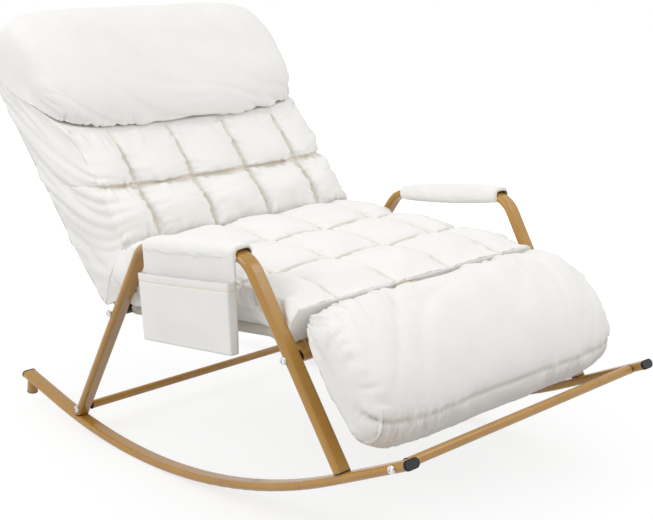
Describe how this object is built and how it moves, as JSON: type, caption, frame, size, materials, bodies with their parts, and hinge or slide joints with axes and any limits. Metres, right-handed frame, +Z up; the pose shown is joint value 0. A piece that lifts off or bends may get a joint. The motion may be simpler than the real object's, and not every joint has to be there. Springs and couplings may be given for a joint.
{
  "type": "rocking chair",
  "caption": "Reclined lounge rocker with curved runners, bent flat-oval tube side frames, padded armrests, a quilted mattress with head roll and leg roll, and a side pocket",
  "frame": {"origin": "on the floor, midway between the two runners, on the line where both of them touch it", "axes": "+X is the sitter's front, +Y the sitter's left, +Z up"},
  "size_m": [1.1818, 0.6848, 0.808],
  "materials": {
    "frame_paint": "gloss",
    "bare_steel": "satin",
    "bright_fasteners": "polished",
    "black_plastic": "satin",
    "sling_cloth": "matte",
    "cushion_cloth": "matte"
  },
  "bodies": {
    "root": {"right_rocker": "frame_paint", "left_rocker": "frame_paint", "right_side_frame": "frame_paint", "left_side_frame": "frame_paint", "front_cross_tube": "frame_paint", "rear_cross_tube": "frame_paint", "front_tube_plugs": "black_plastic", "rear_tube_plugs": "black_plastic", "seat_bar_plugs": "black_plastic", "right_rocker_front_cap": "black_plastic", "left_rocker_front_cap": "black_plastic", "right_rocker_rear_cap": "black_plastic", "left_rocker_rear_cap": "black_plastic", "right_stub_plug": "black_plastic", "left_stub_plug": "black_plastic", "rear_leg_collars": "black_plastic", "front_leg_collars": "black_plastic", "seat_frame": "frame_paint", "back_frame": "frame_paint", "right_frame_joiner": "bare_steel", "left_frame_joiner": "bare_steel", "hip_cross_tube": "frame_paint", "lumbar_cross_tube": "frame_paint", "shoulder_cross_tube": "frame_paint", "seat_spacers": "black_plastic", "rear_foot_bolts": "bright_fasteners", "front_rocker_bolts": "bright_fasteners", "seat_rear_bolts": "bright_fasteners", "seat_front_bolts": "bright_fasteners", "bolt_washers": "bright_fasteners", "seat_nuts": "bright_fasteners", "joiner_bolts": "bright_fasteners", "seat_sling": "sling_cloth", "back_sling": "sling_cloth", "head_roll": "cushion_cloth", "head_hood": "cushion_cloth", "back_pad": "cushion_cloth", "seat_pad": "cushion_cloth", "leg_roll": "cushion_cloth", "right_arm_cover": "cushion_cloth", "left_arm_cover": "cushion_cloth", "side_pocket": "cushion_cloth"}
  },
  "joints": []
}
